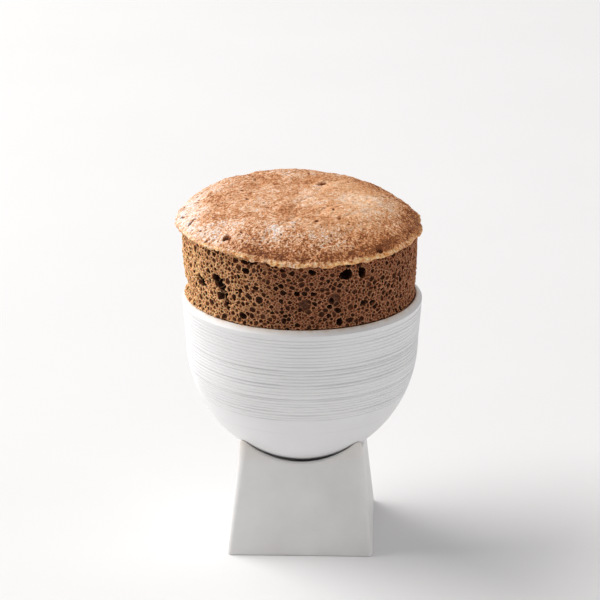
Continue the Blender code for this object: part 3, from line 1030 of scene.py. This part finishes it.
def crumb_material():
    """Soft brown sponge with painted light: lighter bubble walls with painted highlights on the edges
    between bubbles, painted shade in the bubbles' insides and in fine pits, and painted light on the left
    side, which is lighter and more yellow-orange.
    """
    n = Nodes("chocolate_crumb")
    wall = n.ramp(n.noise(0.0022, 4.0), (0.3, (0.14, 0.044, 0.018)), (0.7, (0.25, 0.088, 0.038)))
    fleck = n.ramp(n.noise(0.0005, 2.0), (0.35, (0.11, 0.035, 0.014)), (0.65, (0.40, 0.165, 0.080)))
    wall = n.mix(0.45, wall, fleck)
    # Painted shade: the middles of small scattered cells are painted near black, as the dark insides of fine
    # pits; the same cells also give the bump.
    pits = n.cells(0.0011)
    wall = n.mix(n.range(pits, 0.24, 0.44, 0.95, 0.0), wall, (0.062, 0.017, 0.007))
    # Painted light: the left side, where the light falls, is painted lighter and more yellow-orange, less so
    # towards the back; lit is that painted colour, lighter away from the pits.
    painted_side_light = n.scaled(n.range(n.axis("X"), -0.006, -0.036), n.range(n.noise(0.005, 3.0), 0.3, 0.7, 0.6, 1.2))
    painted_side_light = n.scaled(painted_side_light, n.range(n.axis("Y"), 0.004, 0.024, 1.0, 0.25))
    lit = n.mix(n.range(pits, 0.22, 0.45), (0.36, 0.115, 0.036), (1.0, 0.56, 0.265))
    wall = n.mix(n.scaled(painted_side_light, 0.95), wall, lit)
    # Painted shade: the deeper a point lies in a bubble, the darker it is painted, nearly black at the
    # bottom; mid-depth floors get lighter films between painted dark pits.
    depth = n.attribute("depth")
    inside = n.ramp(n.range(depth, 0.0, 2.4), (0.1, (0.19, 0.055, 0.020)), (0.3, (0.115, 0.031, 0.011)),
                    (0.5, (0.055, 0.015, 0.006)), (0.8, (0.02, 0.006, 0.003)))
    shelf = n.scaled(n.range(depth, 0.5, 0.9, 0.0, 0.35), n.range(depth, 1.4, 1.8, 1.0, 0.0))
    floor = n.range(n.cells(0.0008), 0.25, 0.5)
    inside = n.mix(n.scaled(floor, shelf), inside, (0.20, 0.095, 0.055))
    # Painted light on the shallow insides of the bubbles on the lit side.
    shallow = n.range(depth, 0.2, 1.1, 0.45, 0.0)
    inside = n.mix(n.scaled(painted_side_light, shallow), inside, (0.55, 0.24, 0.09))
    colour = n.mix(n.range(depth, -0.1, 0.45), wall, inside)
    # Painted highlight: points that stand out from those about them, the edges between bubbles, are painted
    # light, more yellow-orange on the lit side.
    painted_ridge_highlight = n.mix(painted_side_light, (0.56, 0.258, 0.138), (1.0, 0.60, 0.30))
    colour = n.mix(n.range(n.attribute("painted_ridge_highlight"), 0.003, 0.042, 0.0, 0.78), colour, painted_ridge_highlight)
    n.set(Base_Color=colour, Roughness=0.8, Subsurface_Weight=n.range(depth, 0.3, 1.2, 0.35, 0.05),
          Subsurface_Radius=(1.0, 0.4, 0.17), Subsurface_Scale=0.0014, Specular_IOR_Level=0.15)
    n.bump(n.add(pits, n.scaled(n.noise(0.0004, 3.0), 0.4)), 0.0004, 0.9)
    return n.material


def crust_material():
    """Matte baked skin: cloudy tan with coarse speckles, painted shade in dark pores and holes, a painted
    sheen and painted highlights in pale patches, painted light and a more orange tint on the right, a flaky
    pale edge.
    """
    n = Nodes("chocolate_crust")
    cloud = n.add(n.scaled(n.noise(0.011, 3.0, 0.6), 0.5), n.scaled(n.noise(0.0038, 3.0, 0.6), 0.45))
    cloud = n.add(cloud, n.scaled(n.noise(0.0013, 2.0, 0.6), 0.75))
    cloud = n.add(cloud, n.scaled(n.noise(0.0006, 1.0, 0.5), 0.50))
    # The tone attribute carries the crust's own mottling and painted light: painted sheen and highlights,
    # and painted shade.
    tone = n.scaled(n.attribute("tone"), n.range(n.noise(0.006, 4.0, 0.65), 0.3, 0.65, 0.5, 1.1))
    cloud = n.add(cloud, n.scaled(tone, 0.115))
    outer = n.attribute("outer")
    fleck = n.add(n.scaled(n.noise(0.00065, 0.0), 2.0), -1.0)
    cloud = n.add(cloud, n.scaled(outer, n.scaled(fleck, 0.27)))
    cloud = n.range(cloud, 0.65, 1.49)
    # The ramp's near-white top stops are the painted sheen, reached mostly where the tone attribute is high.
    colour = n.ramp(cloud, (0.15, (0.19, 0.055, 0.016)), (0.33, (0.44, 0.148, 0.044)),
                    (0.50, (0.69, 0.315, 0.140)), (0.66, (0.88, 0.53, 0.325)), (0.84, (0.97, 0.75, 0.62)),
                    (1.0, (1.0, 0.90, 0.87)))
    # Painted shade: dark pores in small cells are multiplied in, in patches and more towards the edge.
    pore = n.range(n.cells(0.0012), 0.15, 0.32, 1.0, 0.0)
    patchy = n.add(n.range(n.noise(0.006, 2.0), 0.42, 0.62, 0.0, 0.5), n.scaled(outer, 0.4))
    colour = n.mix(n.scaled(pore, patchy), colour, (0.30, 0.15, 0.09), "MULTIPLY")
    edge = n.ramp(n.noise(0.0016, 3.0, 0.7), (0.34, (0.34, 0.100, 0.022)), (0.43, (0.78, 0.34, 0.105)),
                  (0.52, (0.96, 0.60, 0.29)), (0.64, (1.0, 0.82, 0.57)))
    flaked = n.scaled(n.attribute("lip"), n.range(n.noise(0.0055, 3.0), 0.37, 0.54, 0.15, 1.0))
    flaked = n.scaled(flaked, n.range(n.axis("X"), -0.045, -0.034, 0.35, 1.0))
    flaked = n.scaled(flaked, n.range(n.axis("X"), 0.027, 0.038, 1.0, 0.55))
    colour = n.mix(flaked, colour, edge)
    # Painted light on the right side, which faces away from the light: its inner part is painted lighter and
    # yellow-orange; the multiply then tints the whole right side more orange.
    right = n.range(n.axis("X"), -0.005, 0.025)
    inner = n.range(outer, 0.2, 1.0, 0.28, 0.04)
    colour = n.mix(n.scaled(right, inner), colour, (0.96, 0.57, 0.31))
    colour = n.mix(n.scaled(right, 0.8), colour, (1.0, 0.89, 0.74), "MULTIPLY")
    # Painted shade in the holes broken into the crust: the deeper the hole, the darker it is painted.
    hole = n.attribute("hole")
    colour = n.mix(n.range(hole, 0.05, 0.45), colour, (0.36, 0.115, 0.040))
    colour = n.mix(n.range(hole, 0.4, 1.0), colour, (0.075, 0.018, 0.006))
    n.set(Base_Color=colour, Roughness=0.6, Subsurface_Weight=0.08,
          Subsurface_Radius=(1.0, 0.5, 0.25), Subsurface_Scale=0.001, Specular_IOR_Level=0.2)
    n.bump(n.mix(0.5, n.noise(0.0006, 4.0, 0.7), n.cells(0.0010)), 0.0006, 1.0)
    return n.material


def porcelain_material():
    """Fine white porcelain with a soft sheen, painted shade in its grooves and a painted brown reflection of
    the souffle, with its shade, on the inner edge of its rim.
    """
    n = Nodes("white_porcelain")
    tone = n.ramp(n.noise(0.02, 3.0), (0.3, (0.803, 0.80, 0.803)), (0.7, (0.84, 0.837, 0.84)))
    # Painted shade in the turned grooves: darker where they are cut deeper.
    tone = n.mix(n.range(n.attribute("groove"), 0.02, 0.34, 0.0, 0.62), tone, (0.56, 0.557, 0.56))
    # Painted reflection and shade: the rim's inner edge is painted brown, as the souffle reflected in it;
    # the value named baked holds how much.
    baked = n.scaled(n.attribute("painted_brown_reflection"), n.range(n.noise(0.003, 3.0), 0.35, 0.65, 0.35, 0.95))
    tone = n.mix(baked, tone, (0.62, 0.44, 0.29))
    rough = n.range(n.noise(0.004, 3.0), 0.3, 0.7, 0.38, 0.5)
    n.set(Base_Color=tone, Roughness=rough, Specular_IOR_Level=0.5)
    n.bump(n.noise(0.0009, 3.0), 0.00003, 0.5)
    return n.material


def pedestal_material():
    """Unglazed, slightly warmer porcelain with faint unevenness, and painted brownish shade in patches near
    its top, under the bowl.
    """
    n = Nodes("pedestal_porcelain")
    tone = n.ramp(n.noise(0.014, 4.0), (0.3, (0.74, 0.725, 0.715)), (0.7, (0.80, 0.79, 0.78)))
    # Painted shade: near the top, under the bowl, patches are painted darker and browner.
    patches = n.range(n.noise(0.012, 3.0), 0.35, 0.65, 0.2, 0.8)
    painted_shade_under_bowl = n.scaled(n.range(n.axis("Z"), 0.035, 0.044), patches)
    tone = n.mix(painted_shade_under_bowl, tone, (0.66, 0.60, 0.53))
    rough = n.range(n.noise(0.006, 3.0), 0.3, 0.7, 0.42, 0.56)
    n.set(Base_Color=tone, Roughness=rough, Specular_IOR_Level=0.45)
    n.bump(n.noise(0.003, 4.0), 0.00006, 0.4)
    return n.material


def floor_material():
    """A pale, faintly cloudy table top."""
    n = Nodes("pale_floor")
    tone = n.ramp(n.noise(0.15, 4.0), (0.3, (0.868, 0.857, 0.859)), (0.7, (0.888, 0.877, 0.879)))
    n.set(Base_Color=tone, Roughness=0.55, Specular_IOR_Level=0.3)
    n.bump(n.noise(0.02, 3.0), 0.0002, 0.2)
    return n.material


# ---- stage, light, camera

CAMERA_AZIMUTH = 1.75
CAMERA_ELEVATION = 19.6
CAMERA_DISTANCE = 1.19
CAMERA_TARGET = Vector((-0.0008, 0.0, 0.0907))
CAMERA_LENS = 194.4  # mm
SENSOR_WIDTH = 36.0  # mm
LIGHT_TARGET = Vector((0.0, 0.0, 0.08))
WORLD_COLOUR = (0.99, 0.995, 1.0, 1.0)
WORLD_STRENGTH = 0.37
FLOOR_SIZE = 6.0


def direction(azimuth, elevation):
    """Unit vector from the object towards a viewer; azimuth 0 is the front."""
    a, e = math.radians(azimuth), math.radians(elevation)
    return Vector((math.sin(a) * math.cos(e), -math.cos(a) * math.cos(e), math.sin(e)))


def aim(thing, target):
    """Turns a camera or light towards a point."""
    thing.rotation_euler = (target - thing.location).to_track_quat("-Z", "Y").to_euler()


def make_camera():
    """The photo's camera: a long lens, a little above the table."""
    camera = bpy.data.objects.new("camera", bpy.data.cameras.new("camera"))
    bpy.context.scene.collection.objects.link(camera)
    camera.data.lens = CAMERA_LENS
    camera.data.sensor_width = SENSOR_WIDTH
    camera.location = CAMERA_TARGET + CAMERA_DISTANCE * direction(CAMERA_AZIMUTH, CAMERA_ELEVATION)
    aim(camera, CAMERA_TARGET)
    bpy.context.scene.camera = camera


def make_light(name, azimuth, elevation, distance, size, power, colour=(1.0, 1.0, 1.0)):
    """A square area light, its size and distance in metres and its power in watts."""
    light = bpy.data.lights.new(name, "AREA")
    light.shape = "SQUARE"
    light.size = size
    light.energy = power
    light.color = colour
    lamp = bpy.data.objects.new(name, light)
    bpy.context.scene.collection.objects.link(lamp)
    lamp.location = LIGHT_TARGET + distance * direction(azimuth, elevation)
    aim(lamp, LIGHT_TARGET)


def make_stage():
    """The floor, an even pale world, a large window at the left and a weak fill at the right."""
    bpy.ops.mesh.primitive_plane_add(size=FLOOR_SIZE, location=(0.0, 0.0, 0.0))
    floor = bpy.context.object
    floor.name = "floor"
    floor.data.materials.append(floor_material())
    world = bpy.data.worlds.new("studio")
    world.use_nodes = True
    background = world.node_tree.nodes["Background"]
    background.inputs["Color"].default_value = WORLD_COLOUR
    background.inputs["Strength"].default_value = WORLD_STRENGTH
    bpy.context.scene.world = world
    make_light("window", azimuth=250.0, elevation=39.0, distance=2.4, size=2.6, power=84.0,
               colour=(1.0, 0.99, 0.975))
    make_light("reflector", azimuth=72.0, elevation=12.0, distance=2.0, size=1.4, power=8.0)
    bpy.context.scene.view_settings.view_transform = "Standard"


# ---- assembly

def attach(piece, node):
    """Fixes a piece to the body in place of its CAD node, which is hidden."""
    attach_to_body(piece, "root")
    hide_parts(node)


make_camera()
make_stage()
for crumb in make_crumb(crumb_material()):
    attach(crumb, "souffle")
attach(make_crust(crust_material()), "souffle")
attach(make_bowl(porcelain_material()), "bowl")
attach(make_pedestal(pedestal_material()), "pedestal")
